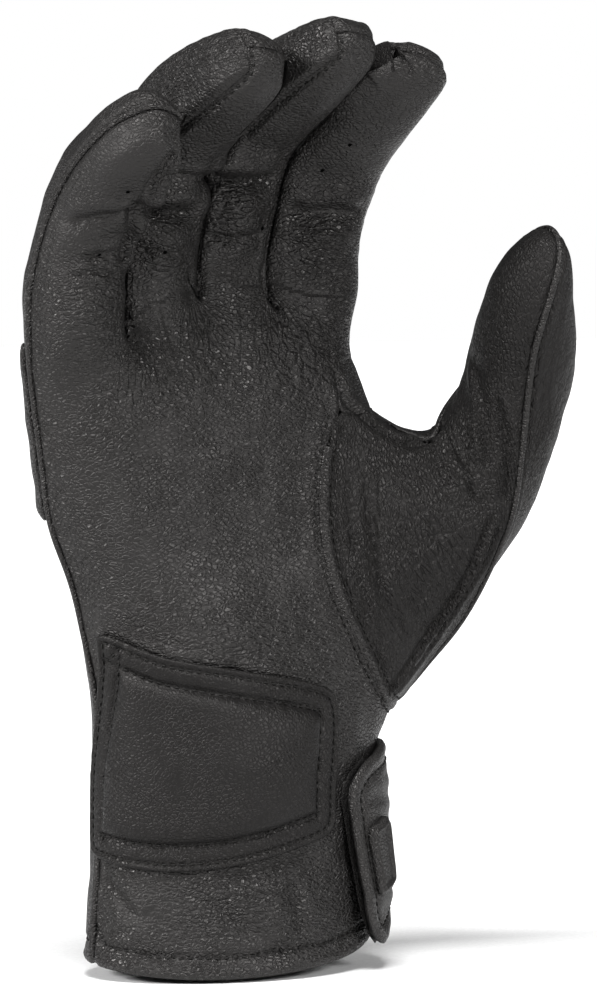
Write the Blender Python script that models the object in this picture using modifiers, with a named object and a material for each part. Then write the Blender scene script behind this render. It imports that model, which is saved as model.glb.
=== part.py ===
"""A right-hand leather motorcycle glove, shown as if filled by a hand, fingers up and the palm towards -Y.

The leather is one smooth surface, cut along its seams into panels: palm, back, gussets, thumb front and thumb
back. Its cage is rings of points, worked out from the named sizes and the tables below, under a subdivision
surface. Everything sewn or wrapped on it (heel pad, edge guard, strap, welts) is laid on that same surface.

Frame: +Z from the cuff to the fingers, -Y the way the palm faces, +X towards the thumb. The origin is the
centre of the cuff's opening, at the hem. Sizes are metres and angles are degrees.
"""
import math
from collections import namedtuple

import bpy
import bmesh
import numpy as np
from mathutils import Vector
from mathutils.bvhtree import BVHTree

# Leather and seams
LEATHER = 0.0016
SEAM_GAP = 0.0005
LAID_GAP = 0.0005

# Hand and cuff
HAND_HEIGHT = 0.171
PALM_WIDTH = 0.096
PALM_DEPTH = 0.038
CUFF_WIDTH = 0.083
CUFF_DEPTH = 0.056
HEM_DROP = 0.0036
FINGER_GAP = 0.0016
ROLL_END = 0.30
CURL_START = 0.05
CURL_END = 0.80

# Thumb: its root as shares of the palm's width and the hand's height, then sizes measured from that root
THUMB_ROOT_ACROSS = 0.417
THUMB_ROOT_UP = 0.602
THUMB_REACH = 0.037
THUMB_FORWARD = 0.038
THUMB_RISE = 0.0924
THUMB_WIDTH = 0.0290
THUMB_DEPTH = 0.0280
CROTCH_REACH = 0.012
CROTCH_FORWARD = 0.010
CROTCH_DROP = 0.018

# Heel pad, a sewn patch with a foam-filled middle, and the layer over the little-finger edge. Their angles run
# round the hand from straight front towards the thumb, and heights are shares of HAND_HEIGHT.
PATCH_THICKNESS = 0.0014
PATCH_BORDER = 0.0070
PATCH_FROM, PATCH_TO = -94.0, 35.0
PATCH_SLANT = 12.0
PAD_COLUMNS, PAD_ROWS = 12, 7
CUSHION_EDGE = 0.0008
CUSHION_HEIGHT = 0.0030
GUARD_THICKNESS = 0.0014
GUARD_GAP = 0.0010
GUARD_FROM, GUARD_TO = -93.0, -116.0
GUARD_LOW, GUARD_HIGH = 0.688, 0.960

# Welts, piping along the outer seams of the little finger and thumb, from these shares of HAND_HEIGHT up
WELT_RADIUS = 0.0009
WELT_SIDES = 5
PINKY_WELT_LOW = 0.971
THUMB_WELT_LOW = 0.409

# Wrist strap: round the back and the thumb side, its free end standing off the cuff. The heights of its middle
# line and of the loop tape under its free end are shares of HAND_HEIGHT; the badge's edges are shares of the
# strap's length and width.
STRAP_THICKNESS = 0.0026
STRAP_WIDTH = 0.050
STRAP_TAPER = 0.76
STRAP_FROM = 205.0
STRAP_TO_LOW, STRAP_TO_HIGH = 52.0, 35.0
STRAP_ROOT_UP = 0.210
STRAP_MIDDLE_UP = 0.193
STRAP_TIP_UP = 0.149
STRAP_STANDOFF = 0.0040
LOOP_FROM, LOOP_TO = 57.0, 85.0
LOOP_LOW, LOOP_HIGH = 0.058, 0.210
LOOP_THICKNESS = 0.0010
BADGE_THICKNESS = 0.0008
BADGE_FROM, BADGE_TO = 0.86, 0.955
BADGE_LOW, BADGE_HIGH = 0.28, 0.66

# The cage: how much wider than the wanted section a ring of points is, since the subdivision surface lies inside
# it, and how square a finger's ring is
SUBDIVISIONS = 1
RING_SWELL_8 = 1.075
RING_SWELL_10 = 1.045
CORNER = 0.88
RING_PLACES = ((-1, 0), (-CORNER, 1), (0, 1), (CORNER, 1), (1, 0), (CORNER, -1), (0, -1), (-CORNER, -1))

# root_z is a share of HAND_HEIGHT and root_y of PALM_DEPTH. fan and curl turn the finger towards the thumb and
# the palm, from root to tip; roll turns its front away from the thumb; taper is the tip's share of the root.
Finger = namedtuple(
    "Finger", "name width depth length root_z root_y fan fan_tip curl_root curl_tip roll taper"
)
FINGERS = (
    Finger("pinky", 0.0245, 0.0210, 0.0780, 0.958, -0.12, -2, 17, 4, 55, 0, 0.82),
    Finger("ring", 0.0218, 0.0215, 0.0888, 1.040, 0.01, -1.5, 16.5, 6.5, 63, 0, 1.14),
    Finger("middle", 0.0226, 0.0210, 0.0948, 1.052, 0.07, -0.5, 18, 8, 64, 0, 1.16),
    Finger("index", 0.0274, 0.0205, 0.0915, 1.005, 0.02, 3.0, 8, 7, 57, 18, 0.98),
)

# Sections of every finger: place along its length, width and depth as shares of the finger's own, and how far
# the front and back stand out as shares of half the depth.
FingerSection = namedtuple("FingerSection", "along width front back")
FINGER_SECTIONS = (
    FingerSection(0.00, 1.00, 1.00, 1.00),
    FingerSection(0.15, 0.97, 1.06, 0.98),
    FingerSection(0.30, 0.93, 1.00, 0.98),
    FingerSection(0.43, 0.90, 0.80, 1.02),
    FingerSection(0.56, 0.94, 1.02, 1.00),
    FingerSection(0.70, 0.93, 0.98, 0.92),
    FingerSection(0.85, 0.88, 0.92, 0.82),
    FingerSection(0.965, 0.66, 0.66, 0.56),
)

# Sections of the hand from the hem up. height is a share of HAND_HEIGHT. hand blends from the cuff's size (0)
# to the palm's (1), and width and depth are shares of that size. lean shifts the centre towards the thumb, as a
# share of PALM_WIDTH. seam is where the front columns stop, as a share of the half width. spread blends the
# columns from even (0) to lined up with the fingers (1). rise lifts the thumb side and arch drops both sides,
# as shares of HAND_HEIGHT. hollow takes a share off the front's middle. roundness is the superellipse's power.
HandSection = namedtuple(
    "HandSection", "height hand width depth lean seam spread rise arch hollow roundness"
)
HAND_SECTIONS = (
    HandSection(0.000, 0.0, 1.00, 1.00, 0.000, 0.97, 0.0, 0.016, -0.010, 0.00, 2.0),
    HandSection(0.060, 0.0, 0.98, 1.00, 0.000, 0.97, 0.0, 0.012, 0.00, 0.00, 2.0),
    HandSection(0.150, 0.0, 0.965, 0.97, 0.005, 0.97, 0.0, 0.006, 0.00, 0.00, 2.0),
    HandSection(0.274, 0.0, 0.965, 0.96, 0.008, 0.97, 0.0, 0.000, 0.00, 0.00, 2.0),
    HandSection(0.380, 0.2, 0.995, 0.98, 0.042, 0.76, 0.0, 0.000, 0.00, 0.00, 2.1),
    HandSection(0.516, 0.6, 1.00, 1.02, 0.008, 0.33, 0.2, 0.000, 0.00, 0.06, 2.2),
    HandSection(0.674, 0.9, 0.99, 1.00, -0.063, 0.31, 0.4, 0.016, 0.00, 0.10, 2.4),
    HandSection(0.852, 1.0, 0.98, 0.92, -0.122, 0.62, 0.7, 0.052, 0.00, 0.04, 2.6),
    HandSection(0.936, 1.0, 0.98, 0.82, -0.131, 0.92, 0.9, 0.024, 0.02, 0.02, 2.7),
)
THUMB_LOW_ROW = 4
THUMB_HIGH_ROW = 7

# Sections of the thumb: place out, forward and up as shares of the thumb's reach, forward and rise; lean is the
# way it points, in degrees above level; width and depth are shares of its own; outer_seam and web_seam are the
# places of its two seams, in degrees from straight front towards the fingers.
ThumbSection = namedtuple("ThumbSection", "out forward up lean width depth outer_seam web_seam")
THUMB_SECTIONS = (
    ThumbSection(0.60, 0.10, 0.105, 14, 1.98, 1.50, -62, 58),
    ThumbSection(0.77, 0.24, 0.180, 28, 1.70, 1.40, -36, 62),
    ThumbSection(0.85, 0.38, 0.310, 46, 1.32, 1.22, -4, 98),
    ThumbSection(1.00, 0.58, 0.515, 82, 1.02, 1.10, 24, 165),
    ThumbSection(0.97, 0.74, 0.667, 87, 0.97, 1.04, 26, 192),
    ThumbSection(0.92, 0.87, 0.800, 86, 0.86, 0.95, 10, 184),
    ThumbSection(0.96, 0.95, 0.915, 74, 0.62, 0.72, -6, 170),
)
THUMB_TIP = (1.04, 0.99, 1.03)

# Edges of the heel pad's patch, at angles round the cuff from straight front towards the thumb
PatchEdge = namedtuple("PatchEdge", "angle bottom top")
PATCH_EDGES = (
    PatchEdge(-94, 0.167, 0.532),
    PatchEdge(-78, 0.153, 0.515),
    PatchEdge(-60, 0.145, 0.476),
    PatchEdge(-40, 0.148, 0.460),
    PatchEdge(-16, 0.159, 0.446),
    PatchEdge(12, 0.178, 0.434),
    PatchEdge(37, 0.198, 0.416),
)

# Panels of leather, in the order of their material numbers on the cage
PANELS = (
    "palm_panel", "back_panel", "gusset_pinky_ring", "gusset_ring_middle", "gusset_middle_index",
    "thumb_front_panel", "thumb_back_panel",
)
PALM, BACK, GUSSET, THUMB_FRONT, THUMB_BACK = 0, 1, 2, 5, 6

FRONT_COLUMNS = 3 * len(FINGERS)
RADIAL_COLUMN = FRONT_COLUMNS + 1
RING_POINTS = 2 * FRONT_COLUMNS + 2

# How far away a ray towards the middle line starts, and the lowest height that it looks at
REACH = 0.15
LOWEST_TOUCH = 0.006

LEATHER_COLOUR = (0.022, 0.021, 0.021, 1.0)
TAPE_COLOUR = (0.012, 0.012, 0.013, 1.0)


def clear_scene():
    for old in list(bpy.data.objects):
        bpy.data.objects.remove(old)


def leather_material(name, colour=LEATHER_COLOUR, roughness=0.5):
    material = bpy.data.materials.new(name)
    material.use_nodes = True
    shader = material.node_tree.nodes["Principled BSDF"]
    shader.inputs["Base Color"].default_value = colour
    shader.inputs["Roughness"].default_value = roughness
    shader.inputs["Metallic"].default_value = 0.0
    return material


def lerp(a, b, t):
    return a + (b - a) * t


def superellipse(share, roundness):
    """Half depth, as a share, at this share of the half width."""
    return (1.0 - min(abs(share), 1.0) ** roundness) ** (1.0 / roundness)


# The fingers

def finger_root_x(index):
    """The fingers stand side by side across the palm, centred on its lean."""
    widths = [finger.width for finger in FINGERS]
    scale = finger_scale()
    left = -PALM_WIDTH / 2 + HAND_SECTIONS[-1].lean * PALM_WIDTH
    return left + sum(widths[:index]) * scale + FINGER_GAP * index + widths[index] * scale / 2


def finger_scale():
    gaps = FINGER_GAP * (len(FINGERS) - 1)
    return (PALM_WIDTH - gaps) / sum(finger.width for finger in FINGERS)


def finger_frame(finger, along):
    """Unit vectors along the finger, across it towards the thumb, and out of its front, at a share of it."""
    curled = min(max((along - CURL_START) / (CURL_END - CURL_START), 0.0), 1.0)
    curled = curled * curled * (3 - 2 * curled)
    bend = math.radians(lerp(finger.curl_root, finger.curl_tip, curled))
    fan = math.radians(lerp(finger.fan, finger.fan_tip, along))
    tangent = Vector((math.sin(fan), -math.sin(bend) * math.cos(fan), math.cos(bend) * math.cos(fan)))
    roll = math.radians(finger.roll) * min(along / ROLL_END, 1.0)
    across = Vector((math.cos(roll), -math.sin(roll), 0.0))
    across = (across - tangent * across.dot(tangent)).normalized()
    return tangent, across, across.cross(tangent)


def finger_centre(index, along, steps=24):
    """A point of the centre line: the tangent summed from the root."""
    finger = FINGERS[index]
    centre = Vector((finger_root_x(index), finger.root_y * PALM_DEPTH, finger.root_z * HAND_HEIGHT))
    step = along / steps
    for k in range(steps):
        tangent = finger_frame(finger, (k + 0.5) * step)[0]
        centre += tangent * finger.length * step
    return centre


def finger_ring(index, section):
    """Eight points: little-finger side, three of the front, thumb side, three of the back."""
    finger = FINGERS[index]
    _, across, out = finger_frame(finger, section.along)
    centre = finger_centre(index, section.along)
    half_width = finger.width * finger_scale() / 2 * section.width * RING_SWELL_8
    half_width *= lerp(1.0, finger.taper, section.along)
    half_depth = finger.depth / 2 * RING_SWELL_8
    points = []
    for sideways, outwards in RING_PLACES:
        stands = section.front if outwards > 0 else section.back
        corner = CORNER if sideways not in (0, 1, -1) else 1.0
        points.append(centre + across * half_width * sideways + out * half_depth * outwards * stands * corner)
    return points


# The hand

def column_share(column, section):
    """Place of a front or back column across the hand, as a share of the half width."""
    even = math.cos(math.pi * (1 - column / RADIAL_COLUMN))
    finger, place = divmod(column - 1, 3)
    half = FINGERS[finger].width * finger_scale() / 2
    x = finger_root_x(finger) + (place - 1) * half * CORNER
    lined_up = (x - HAND_SECTIONS[-1].lean * PALM_WIDTH) / (PALM_WIDTH / 2)
    return lerp(even, lined_up, section.spread)


def hand_ring(section):
    """The points of one row: little-finger side, front columns, thumb side, back columns."""
    width = lerp(CUFF_WIDTH, PALM_WIDTH, section.hand) * section.width
    depth = lerp(CUFF_DEPTH, PALM_DEPTH, section.hand) * section.depth
    centre = Vector((section.lean * PALM_WIDTH, 0.0, section.height * HAND_HEIGHT))
    first = column_share(1, section)
    last = column_share(FRONT_COLUMNS, section)
    squeeze = (section.seam - first) / (last - first)

    def point(share, side):
        drop = (section.arch * share * share - section.rise * share) * HAND_HEIGHT
        y = side * depth / 2 * superellipse(share, section.roundness)
        if side < 0:
            y *= 1 - section.hollow * math.cos(share * math.pi / 2) ** 2
        hem = HEM_DROP * (1 - section.height / HAND_SECTIONS[3].height) if side < 0 else 0.0
        hem = max(hem, 0.0) * superellipse(share, 2.0)
        return centre + Vector((share * width / 2, y, -drop - hem))

    ring = [point(-1.0, 0)]
    for column in range(1, FRONT_COLUMNS + 1):
        share = column_share(column, section)
        ring.append(point(first + (share - first) * squeeze, -1))
    ring.append(point(1.0, 0))
    for column in range(FRONT_COLUMNS, 0, -1):
        ring.append(point(column_share(column, section), 1))
    return ring


# The thumb

def thumb_point(out, forward, up):
    return Vector((
        THUMB_ROOT_ACROSS * PALM_WIDTH + out * THUMB_REACH,
        -forward * THUMB_FORWARD,
        THUMB_ROOT_UP * HAND_HEIGHT + up * THUMB_RISE,
    ))


def thumb_ring(row):
    """Ten points: four of the front, the web side, four of the back, the outer side."""
    section = THUMB_SECTIONS[row]
    places = [(0.0, 0.0, 0.0)] + [s[:3] for s in THUMB_SECTIONS] + [THUMB_TIP]
    before, centre, after = (thumb_point(*places[row + k]) for k in range(3))
    lean = math.radians(section.lean)
    tangent = Vector((math.cos(lean), (after - before).normalized().y, math.sin(lean))).normalized()
    front = Vector((0, -1, 0))
    front = (front - tangent * front.dot(tangent)).normalized()
    web = front.cross(tangent)
    half_width = THUMB_WIDTH / 2 * section.width * RING_SWELL_10
    half_depth = THUMB_DEPTH / 2 * section.depth * RING_SWELL_10
    turns = [lerp(section.outer_seam, section.web_seam, k / 5) for k in range(1, 6)]
    turns += [lerp(section.web_seam, section.outer_seam + 360, k / 5) for k in range(1, 6)]
    angles = [math.radians(turn) for turn in turns]
    return [centre + front * half_depth * math.cos(a) + web * half_width * math.sin(a) for a in angles]


def hole_boundary(rows):
    """The thumb's first ring: the edge of the hole that the palm leaves for it, in the order of thumb_ring."""
    low, high = THUMB_LOW_ROW, THUMB_HIGH_ROW
    front = [rows[r][FRONT_COLUMNS] for r in range(low, high + 1)]
    back = [rows[r][RADIAL_COLUMN + 1] for r in range(high, low - 1, -1)]
    return front + [rows[high][RADIAL_COLUMN]] + back + [rows[low][RADIAL_COLUMN]]


# The cage

def add_face(mesh, corners, panel):
    face = mesh.faces.new(corners)
    face.material_index = panel
    face.smooth = True
    return face


def join_rings(mesh, lower, upper, panels):
    count = len(lower)
    for k in range(count):
        j = (k + 1) % count
        if panels[k] is not None and len({lower[k], lower[j], upper[j], upper[k]}) == 4:
            add_face(mesh, (lower[k], lower[j], upper[j], upper[k]), panels[k])


def finger_panels(index):
    """Panel of each face round a finger, starting at the little-finger side."""
    last = len(FINGERS) - 1
    left = (PALM, BACK) if index == 0 else (GUSSET + index - 1,) * 2
    right = (PALM, BACK) if index == last else (GUSSET + index,) * 2
    return (left[0], PALM, PALM, right[0], right[1], BACK, BACK, left[1])


def build_cage():
    mesh = bmesh.new()
    rows = []
    for number, section in enumerate(HAND_SECTIONS):
        points = hand_ring(section)
        if number == THUMB_HIGH_ROW:
            points[RADIAL_COLUMN] += Vector((CROTCH_REACH, -CROTCH_FORWARD, -CROTCH_DROP))
        inside_hole = THUMB_LOW_ROW < number < THUMB_HIGH_ROW
        rows.append([
            None if inside_hole and k == RADIAL_COLUMN else mesh.verts.new(p) for k, p in enumerate(points)
        ])
    hand_panels = [PALM] * RADIAL_COLUMN + [BACK] * (RING_POINTS - RADIAL_COLUMN)
    for number in range(len(rows) - 1):
        panels = list(hand_panels)
        if THUMB_LOW_ROW <= number < THUMB_HIGH_ROW:
            panels[FRONT_COLUMNS] = panels[RADIAL_COLUMN] = None
        elif number >= THUMB_HIGH_ROW:
            panels[FRONT_COLUMNS] = BACK
        join_rings(mesh, rows[number], rows[number + 1], panels)

    fingers = [[
        [mesh.verts.new(p) for p in finger_ring(index, section)] for section in FINGER_SECTIONS
    ] for index in range(len(FINGERS))]
    roots = [rings[0] for rings in fingers]
    upper = [roots[0][0]]
    for root in roots:
        upper += root[1:4]
    upper.append(roots[-1][4])
    for root in reversed(roots):
        upper += root[5:8]
    join_rings(mesh, rows[-1], upper, hand_panels)
    for index in range(len(roots) - 1):
        a, b = roots[index], roots[index + 1]
        add_face(mesh, (a[3], b[1], b[0], a[4]), GUSSET + index)
        add_face(mesh, (a[4], b[0], b[7], a[5]), GUSSET + index)
    for index, rings in enumerate(fingers):
        for lower, higher in zip(rings, rings[1:]):
            join_rings(mesh, lower, higher, finger_panels(index))
        tip = mesh.verts.new(finger_centre(index, 1.0))
        ring = rings[-1]
        for k in range(0, 8, 2):
            add_face(mesh, (ring[k], ring[k + 1], ring[(k + 2) % 8], tip), PALM if k < 4 else BACK)

    thumb = [hole_boundary(rows)]
    thumb += [[mesh.verts.new(p) for p in thumb_ring(row)] for row in range(len(THUMB_SECTIONS))]
    thumb_panels = [THUMB_FRONT] * 4 + [THUMB_BACK] * 5 + [THUMB_FRONT]
    for lower, higher in zip(thumb, thumb[1:]):
        join_rings(mesh, lower, higher, thumb_panels)
    tip = mesh.verts.new(thumb_point(*THUMB_TIP))
    for k in range(10):
        add_face(mesh, (thumb[-1][k], thumb[-1][(k + 1) % 10], tip), thumb_panels[k])
    bmesh.ops.recalc_face_normals(mesh, faces=mesh.faces)
    return mesh


def helper_object(name, mesh, collection):
    data = bpy.data.meshes.new(name)
    mesh.to_mesh(data)
    mesh.free()
    made = bpy.data.objects.new(name, data)
    collection.objects.link(made)
    made.hide_render = True
    made.display_type = "WIRE"
    return made


class Surface:
    """The glove's outer surface after subdivision: points, normals, faces and each face's panel."""

    def __init__(self, holder):
        graph = bpy.context.evaluated_depsgraph_get()
        evaluated = holder.evaluated_get(graph)
        data = evaluated.to_mesh()
        self.points = [v.co.copy() for v in data.vertices]
        self.normals = [v.normal.copy() for v in data.vertices]
        self.faces = [tuple(p.vertices) for p in data.polygons]
        self.panels = [p.material_index for p in data.polygons]
        evaluated.to_mesh_clear()
        self.tree = BVHTree.FromPolygons(self.points, self.faces)


def boundary_pulls(surface, faces):
    """For each point on a panel's edge, the way along the surface into the panel."""
    edges = {}
    for face in faces:
        corners = surface.faces[face]
        for k, corner in enumerate(corners):
            edge = frozenset((corner, corners[(k + 1) % len(corners)]))
            edges.setdefault(edge, []).append(face)
    rim = [edge for edge, sides in edges.items() if len(sides) == 1]
    pulls = {}
    for edge in rim:
        face = edges[edge][0]
        middle = sum((surface.points[c] for c in surface.faces[face]), Vector()) / len(surface.faces[face])
        a, b = edge
        along = (surface.points[b] - surface.points[a]).normalized()
        inwards = middle - surface.points[a]
        inwards = (inwards - along * inwards.dot(along)).normalized()
        for corner in edge:
            pulls[corner] = pulls.get(corner, Vector()) + inwards
    return {corner: pull.normalized() for corner, pull in pulls.items()}


def panel_solid(surface, panel):
    """A closed sheet of leather: the panel's faces, the same faces LEATHER further in, and the edge between."""
    faces = [f for f, number in enumerate(surface.panels) if number == panel]
    pulls = boundary_pulls(surface, faces)
    mesh = bmesh.new()
    outer, inner = {}, {}
    for corner in sorted({c for face in faces for c in surface.faces[face]}):
        point = surface.points[corner] + pulls.get(corner, Vector()) * SEAM_GAP / 2
        outer[corner] = mesh.verts.new(point)
        inner[corner] = mesh.verts.new(point - surface.normals[corner] * LEATHER)
    edges = {}
    for face in faces:
        corners = surface.faces[face]
        mesh.faces.new([outer[c] for c in corners])
        mesh.faces.new([inner[c] for c in reversed(corners)])
        for k, corner in enumerate(corners):
            edge = (corner, corners[(k + 1) % len(corners)])
            edges[edge] = True
    for a, b in edges:
        if (b, a) not in edges:
            mesh.faces.new((outer[b], outer[a], inner[a], inner[b]))
    return mesh


# What is laid on the surface

def smoothstep(low, high, value):
    share = min(max((value - low) / (high - low), 0.0), 1.0)
    return share * share * (3 - 2 * share)


def squashed(angle, wide, deep):
    """The angle whose point on a unit circle lies at this angle once stretched to this width and depth."""
    turn = math.radians(angle)
    found = math.degrees(math.atan2(deep * math.sin(turn), wide * math.cos(turn)))
    return found + 360 * round((angle - found) / 360)


def even_turn(first, last, share):
    """An angle round the cuff between two others, in steps that are closer where the cuff bends more."""
    start = squashed(first, CUFF_WIDTH, CUFF_DEPTH)
    end = squashed(last, CUFF_WIDTH, CUFF_DEPTH)
    return squashed(lerp(start, end, share), CUFF_DEPTH, CUFF_WIDTH)


def touch(surface, angle, height):
    """Point and smooth normal of the surface at an angle round the hand's middle line and a height."""
    rows = [section.height * HAND_HEIGHT for section in HAND_SECTIONS]
    leans = [section.lean * PALM_WIDTH for section in HAND_SECTIONS]
    middle = Vector((float(np.interp(height, rows, leans)), 0.0, height))
    turn = math.radians(angle)
    outwards = Vector((math.sin(turn), -math.cos(turn), 0.0))
    start = max(height, rows[0] - HEM_DROP)
    hit, _, face, _ = surface.tree.ray_cast(middle + outwards * REACH, -outwards)
    if hit is None:
        middle.z = LOWEST_TOUCH
        hit, _, face, _ = surface.tree.ray_cast(middle + outwards * REACH, -outwards)
        hit = Vector((hit.x, hit.y, start))
    corners = surface.faces[face]
    weights = [1.0 / ((surface.points[c] - hit).length + 1e-5) for c in corners]
    normal = sum((surface.normals[c] * w for c, w in zip(corners, weights)), Vector())
    return hit, normal.normalized()


def sheet_solid(columns, rows, place, base, thickness):
    """A closed sheet: place(u, v) is a point and a normal, base and thickness are how far out it starts and how
    much it adds there."""
    mesh = bmesh.new()
    inner, outer = [], []
    for i in range(columns + 1):
        inner.append([])
        outer.append([])
        for j in range(rows + 1):
            u, v = i / columns, j / rows
            point, normal = place(u, v)
            inner[i].append(mesh.verts.new(point + normal * base(u, v)))
            outer[i].append(mesh.verts.new(point + normal * (base(u, v) + thickness(u, v))))
    for i in range(columns):
        for j in range(rows):
            mesh.faces.new((outer[i][j], outer[i + 1][j], outer[i + 1][j + 1], outer[i][j + 1]))
            mesh.faces.new((inner[i][j], inner[i][j + 1], inner[i + 1][j + 1], inner[i + 1][j]))
    rim = [(i, 0) for i in range(columns)] + [(columns, j) for j in range(rows)]
    rim += [(i, rows) for i in range(columns, 0, -1)] + [(0, j) for j in range(rows, 0, -1)]
    for k, (i, j) in enumerate(rim):
        m, n = rim[(k + 1) % len(rim)]
        mesh.faces.new((outer[i][j], inner[i][j], inner[m][n], outer[m][n]))
    return mesh


def pad_place(surface, column, row):
    """A point of the heel pad's grid. The patch takes all of it, and the cushion all but its outermost faces."""
    share = min(max((row - 1) / (PAD_ROWS - 2), 0.0), 1.0)
    angle = even_turn(PATCH_FROM + PATCH_SLANT * share * share, PATCH_TO, column / PAD_COLUMNS)
    angles = [edge.angle for edge in PATCH_EDGES]
    bottom = float(np.interp(angle, angles, [edge.bottom for edge in PATCH_EDGES])) * HAND_HEIGHT
    top = float(np.interp(angle, angles, [edge.top for edge in PATCH_EDGES])) * HAND_HEIGHT
    height = lerp(bottom + PATCH_BORDER, top - PATCH_BORDER, share)
    if row < 1:
        height -= PATCH_BORDER * (1 - row)
    if row > PAD_ROWS - 1:
        height += PATCH_BORDER * (row - PAD_ROWS + 1)
    return touch(surface, angle, height)


def rounded(u, v, columns, rows):
    """Pulls the four corners of a grid in, so that the sheet has cut corners."""
    near_u = min(u, 1 - u) < 0.5 / columns
    near_v = min(v, 1 - v) < 0.5 / rows
    if near_u and near_v:
        u += math.copysign(0.35 / columns, 0.5 - u)
        v += math.copysign(0.35 / rows, 0.5 - v)
    return u, v


def heel_patch(surface):
    def place(u, v):
        return pad_place(surface, u * PAD_COLUMNS, v * PAD_ROWS)

    return sheet_solid(PAD_COLUMNS, PAD_ROWS, place, lambda u, v: LAID_GAP, lambda u, v: PATCH_THICKNESS)


def heel_cushion(surface):
    columns, rows = PAD_COLUMNS - 2, PAD_ROWS - 2

    def place(u, v):
        u, v = rounded(u, v, columns, rows)
        return pad_place(surface, 1 + u * columns, 1 + v * rows)

    def swell(u, v):
        puffed = (1 - abs(2 * u - 1) ** 6) * (1 - abs(2 * v - 1) ** 4)
        return CUSHION_EDGE + CUSHION_HEIGHT * puffed

    return sheet_solid(columns, rows, place, lambda u, v: 2 * LAID_GAP + PATCH_THICKNESS, swell)


def edge_guard(surface):
    def place(u, v):
        height = lerp(GUARD_LOW, GUARD_HIGH, v) * HAND_HEIGHT
        return touch(surface, lerp(GUARD_TO, GUARD_FROM, u), height)

    return sheet_solid(6, 10, place, lambda u, v: GUARD_GAP, lambda u, v: GUARD_THICKNESS)


def strap_place(surface, u, v):
    """A point under the strap: u runs from its sewn root to its free end, v across it from the hem side up."""
    angle = even_turn(STRAP_FROM, lerp(STRAP_TO_LOW, STRAP_TO_HIGH, v), u)
    middle = lerp(STRAP_ROOT_UP, STRAP_MIDDLE_UP, min(u / 0.75, 1.0))
    middle = lerp(middle, STRAP_TIP_UP, smoothstep(0.72, 1.0, u))
    width = STRAP_WIDTH * lerp(STRAP_TAPER, 1.0, smoothstep(0.0, 0.8, u))
    return touch(surface, angle, middle * HAND_HEIGHT + (v - 0.5) * width)


def strap_base(u, v):
    return LAID_GAP + STRAP_STANDOFF * smoothstep(0.42, 0.85, u) * (1 - 0.78 * v)


def wrist_strap(surface):
    columns, rows = 15, 4

    def place(u, v):
        u, v = rounded(u, v, columns, rows)
        return strap_place(surface, u, v)

    return sheet_solid(columns, rows, place, strap_base, lambda u, v: STRAP_THICKNESS)


def strap_badge(surface):
    def on_strap(u, v):
        return lerp(BADGE_FROM, BADGE_TO, u), lerp(BADGE_LOW, BADGE_HIGH, v)

    def base(u, v):
        return strap_base(*on_strap(u, v)) + STRAP_THICKNESS + LAID_GAP

    return sheet_solid(3, 3, lambda u, v: strap_place(surface, *on_strap(u, v)), base, lambda u, v: BADGE_THICKNESS)


def loop_patch(surface):
    def place(u, v):
        return touch(surface, even_turn(LOOP_TO, LOOP_FROM, u), lerp(LOOP_LOW, LOOP_HIGH, v) * HAND_HEIGHT)

    return sheet_solid(4, 3, place, lambda u, v: LAID_GAP, lambda u, v: LOOP_THICKNESS)


# Welts

def seam_chain(surface, first, second, start):
    """Corners along the seam between two panels, from its end nearest to start."""
    sides = {}
    for face, corners in enumerate(surface.faces):
        for k, corner in enumerate(corners):
            edge = frozenset((corner, corners[(k + 1) % len(corners)]))
            sides.setdefault(edge, set()).add(surface.panels[face])
    links = {}
    for edge, panels in sides.items():
        if panels == {first, second}:
            a, b = edge
            links.setdefault(a, []).append(b)
            links.setdefault(b, []).append(a)
    ends = [corner for corner, near in links.items() if len(near) == 1]
    chain = [min(ends, key=lambda corner: (surface.points[corner] - start).length)]
    seen = set(chain)
    while True:
        onward = [corner for corner in links[chain[-1]] if corner not in seen]
        if not onward:
            return chain
        chain.append(onward[0])
        seen.add(onward[0])


def welt_solid(surface, chain):
    """A thin round welt laid along a seam."""
    mesh = bmesh.new()
    path = [surface.points[c] + surface.normals[c] * (WELT_RADIUS + LAID_GAP) for c in chain]
    rings = []
    for k, centre in enumerate(path):
        along = (path[min(k + 1, len(path) - 1)] - path[max(k - 1, 0)]).normalized()
        up = surface.normals[chain[k]]
        up = (up - along * up.dot(along)).normalized()
        side = along.cross(up)
        turns = [2 * math.pi * n / WELT_SIDES + math.pi / 2 for n in range(WELT_SIDES)]
        rings.append([
            mesh.verts.new(centre + (side * math.cos(t) + up * math.sin(t)) * WELT_RADIUS) for t in turns
        ])
    for lower, higher in zip(rings, rings[1:]):
        for n in range(WELT_SIDES):
            m = (n + 1) % WELT_SIDES
            mesh.faces.new((lower[n], lower[m], higher[m], higher[n]))
    mesh.faces.new(rings[0][::-1])
    mesh.faces.new(rings[-1])
    return mesh


def pinky_welt(surface):
    chain = seam_chain(surface, PALM, BACK, Vector((-CUFF_WIDTH / 2, 0, 0)))
    low = PINKY_WELT_LOW * HAND_HEIGHT
    start = next(k for k, corner in enumerate(chain) if surface.points[corner].z > low)
    return welt_solid(surface, chain[start:])


def thumb_welt(surface):
    low = THUMB_WELT_LOW * HAND_HEIGHT
    chain = seam_chain(surface, THUMB_FRONT, THUMB_BACK, Vector((CUFF_WIDTH / 2, 0, low)))
    top = max(range(len(chain)), key=lambda k: surface.points[chain[k]].z)
    return welt_solid(surface, chain[3:top])


def part_object(name, mesh, collection, material):
    bmesh.ops.recalc_face_normals(mesh, faces=mesh.faces)
    data = bpy.data.meshes.new(name)
    mesh.to_mesh(data)
    mesh.free()
    data.shade_smooth()
    made = bpy.data.objects.new(name, data)
    made.data.materials.append(material)
    collection.objects.link(made)
    return made


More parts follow.
